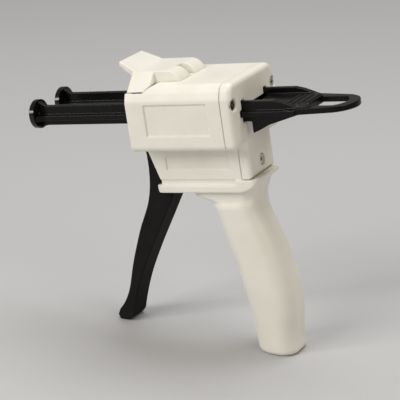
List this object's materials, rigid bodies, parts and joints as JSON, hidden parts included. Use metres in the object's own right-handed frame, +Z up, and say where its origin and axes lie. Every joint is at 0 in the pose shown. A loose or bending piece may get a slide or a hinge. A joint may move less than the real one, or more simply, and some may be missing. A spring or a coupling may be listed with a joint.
{
  "type": "dental dispensing tool",
  "caption": "Hand-held dispensing tool for a twin-barrel cartridge: block with latch and cartridge seat, twin push rods with pull loop, trigger and hollow grip.",
  "frame": {"origin": "centre of the grip's flat sole, on the surface that the tool stands on", "axes": "+X to the rear, towards the pull loop; +Y to the tool's left-hand side as seen from the front; +Z up. The push rods lean 9.2 degrees nose down in this stance"},
  "size_m": [0.1843, 0.055, 0.1508],
  "materials": {
    "ivory_plastic": "semi-gloss, fine moulded texture",
    "black_plastic": "satin moulded",
    "white_acetal": "smooth",
    "hardened_steel": "stamped and hardened",
    "pin_steel": "ground",
    "spring_wire": "drawn wire",
    "screw_steel": "nickel plated"
  },
  "bodies": {
    "housing": {"main_housing": "ivory_plastic", "rear_cover": "ivory_plastic", "cover_screw_left": "screw_steel", "cover_screw_right": "screw_steel", "cover_screw_low": "screw_steel", "grip_plug": "ivory_plastic", "latch_pin": "pin_steel", "trigger_pin": "pin_steel", "brake_shoe_left": "white_acetal", "brake_shoe_right": "white_acetal", "brake_spring_left": "spring_wire", "brake_spring_right": "spring_wire", "trigger_spring": "spring_wire"},
    "plunger": {"plunger": "black_plastic", "pusher_disc_left": "black_plastic", "pusher_disc_right": "black_plastic"},
    "trigger": {"trigger": "black_plastic", "pawl_pin": "pin_steel", "pawl_spring": "spring_wire"},
    "pawl": {"drive_pawl": "hardened_steel"},
    "latch": {"latch": "ivory_plastic"}
  },
  "joints": [
    {"name": "plunger_slide", "type": "slide", "parent": "housing", "child": "plunger", "axis": [0.9871, 0, 0.1599], "range_m": [-0.004, 0.0722]},
    {"name": "trigger_pivot", "type": "hinge", "parent": "housing", "child": "trigger", "pos_m": [-0.04353, 0, 0.09988], "axis": [0, -1, 0], "range_deg": [0, 28], "stiffness_Nm_per_rad": 0.6, "springref_deg": -8.59, "deforming": ["trigger_spring"]},
    {"name": "pawl_pivot", "type": "hinge", "parent": "trigger", "child": "pawl", "pos_m": [-0.04238, 0, 0.11779], "axis": [0, -1, 0], "range_deg": [-28, 0], "deforming": ["pawl_spring"]},
    {"name": "latch_hinge", "type": "hinge", "parent": "housing", "child": "latch", "pos_m": [-0.06306, 0, 0.1423], "axis": [0, 1, 0], "range_deg": [0, 65]}
  ],
  "couplings": [
    {"joint": "pawl_pivot", "follows": "trigger_pivot", "ratio": -1}
  ]
}
